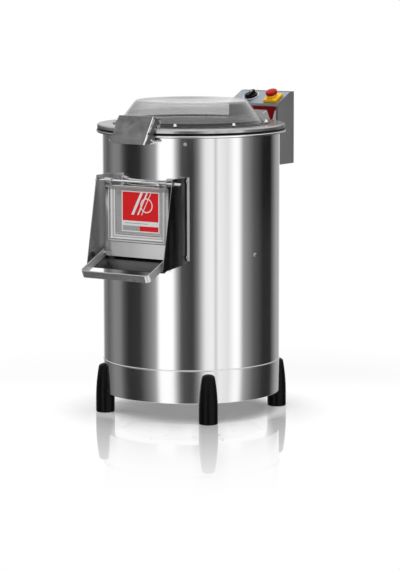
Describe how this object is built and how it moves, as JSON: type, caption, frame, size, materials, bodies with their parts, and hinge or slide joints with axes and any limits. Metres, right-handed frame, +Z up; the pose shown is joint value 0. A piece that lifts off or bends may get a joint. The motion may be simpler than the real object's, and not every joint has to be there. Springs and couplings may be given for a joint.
{
  "type": "electric potato peeler",
  "caption": "Floor-standing steel drum peeler with a clear hinged lid, belt-driven abrasive disc, front discharge door with bail handle and a rear control box.",
  "frame": {"origin": "drum axis at the floor, centre of the circle of feet", "axes": "+Z up along the drum, -Y towards the discharge door, +X to the right seen from the door"},
  "size_m": [0.63, 0.9597, 1.0603],
  "materials": {
    "stainless_sheet": "polished vertical grain",
    "bright_steel": "bright",
    "black_plastic": "satin",
    "black_rubber": "matt",
    "cast_iron": "machined",
    "painted_steel": "semi-gloss",
    "motor_aluminium": "painted",
    "cast_aluminium": "as cast",
    "abrasive": "coarse grit set in resin",
    "clear_dome": "clear",
    "white_plastic": "satin",
    "yellow_plastic": "satin",
    "red_plastic": "gloss"
  },
  "bodies": {
    "machine": {"base_skirt": "stainless_sheet", "bottom_cover": "stainless_sheet", "drum_shell": "stainless_sheet", "rim_ring": "stainless_sheet", "cheeks": "stainless_sheet", "control_box": "stainless_sheet", "box_rear_cover": "stainless_sheet", "control_panel": "stainless_sheet", "chute_floor": "stainless_sheet", "door_throat": "stainless_sheet", "floor_ring": "stainless_sheet", "chamber_floor": "stainless_sheet", "hinge_bracket": "stainless_sheet", "latch_keeper": "stainless_sheet", "drain_pipe": "stainless_sheet", "foot_bolts": "bright_steel", "drum_screws": "bright_steel", "hub_bolts": "bright_steel", "motor_bolts": "bright_steel", "hinge_rod": "bright_steel", "rod_nuts": "bright_steel", "bearings": "bright_steel", "foot_front_right": "black_plastic", "foot_rear_right": "black_plastic", "foot_rear_left": "black_plastic", "foot_front_left": "black_plastic", "cable_gland": "black_plastic", "cable_conduit": "black_plastic", "water_valve": "black_plastic", "shaft_seal": "black_rubber", "drive_belt": "black_rubber", "door_gasket": "black_rubber", "handle_buffers": "black_rubber", "bearing_housing": "cast_iron", "chassis_rails": "painted_steel", "motor_plate": "painted_steel", "motor_body": "motor_aluminium", "liner_panels": "abrasive", "switchgear": "white_plastic", "estop_base": "yellow_plastic"},
    "disc": {"main_shaft": "bright_steel", "driven_pulley": "cast_iron", "peeling_disc": "cast_aluminium", "abrasive_pad": "abrasive", "disc_bolt": "bright_steel"},
    "motor_rotor": {"motor_rotor": "cast_iron"},
    "door": {"door_panel": "stainless_sheet", "handle_pivots": "bright_steel"},
    "handle": {"door_handle": "stainless_sheet"},
    "lid": {"lid_ring": "stainless_sheet", "lid_gasket": "black_rubber", "dome_seal": "black_rubber", "lid_dome": "clear_dome", "dome_screws": "bright_steel", "lid_hinge_strap": "stainless_sheet", "latch_lugs": "stainless_sheet"},
    "latch": {"latch_plate": "stainless_sheet"},
    "timer_knob": {"timer_knob": "black_plastic"},
    "estop_stem": {"estop_stem": "black_plastic"},
    "estop_cap": {"estop_cap": "red_plastic"}
  },
  "joints": [
    {"name": "lid_hinge", "type": "hinge", "parent": "machine", "child": "lid", "pos_m": [0, 0.332, 0.955], "axis": [-1, 0, 0], "range_deg": [0, 78]},
    {"name": "latch_swing", "type": "hinge", "parent": "lid", "child": "latch", "pos_m": [0, -0.2825, 0.9865], "axis": [-1, 0, 0], "range_deg": [0, 60]},
    {"name": "door_hinge", "type": "hinge", "parent": "machine", "child": "door", "pos_m": [0, -0.318, 0.7915], "axis": [-1, 0, 0], "range_deg": [0, 80]},
    {"name": "handle_swing", "type": "hinge", "parent": "door", "child": "handle", "pos_m": [0, -0.309, 0.553], "axis": [-1, 0, 0], "range_deg": [0, 100]},
    {"name": "disc_spin", "type": "hinge", "parent": "machine", "child": "disc", "pos_m": [0, 0, 0.48], "axis": [0, 0, 1], "continuous": true},
    {"name": "motor_spin", "type": "hinge", "parent": "machine", "child": "motor_rotor", "pos_m": [0, 0.176, 0.31], "axis": [0, 0, 1], "continuous": true},
    {"name": "timer_turn", "type": "hinge", "parent": "machine", "child": "timer_knob", "pos_m": [-0.037, 0.42384, 1.03067], "axis": [0, 0.4226, -0.9063], "range_deg": [0, 300]},
    {"name": "estop_push", "type": "slide", "parent": "machine", "child": "estop_stem", "axis": [0, 0.4226, -0.9063], "range_m": [0, 0.004], "stiffness_N_per_m": 900},
    {"name": "estop_twist", "type": "hinge", "parent": "estop_stem", "child": "estop_cap", "pos_m": [0.063, 0.4091, 1.0238], "axis": [0, 0.4226, -0.9063], "range_deg": [0, 45], "stiffness_Nm_per_rad": 0.05}
  ],
  "couplings": [
    {"joint": "motor_spin", "follows": "disc_spin", "ratio": 4.2766}
  ]
}
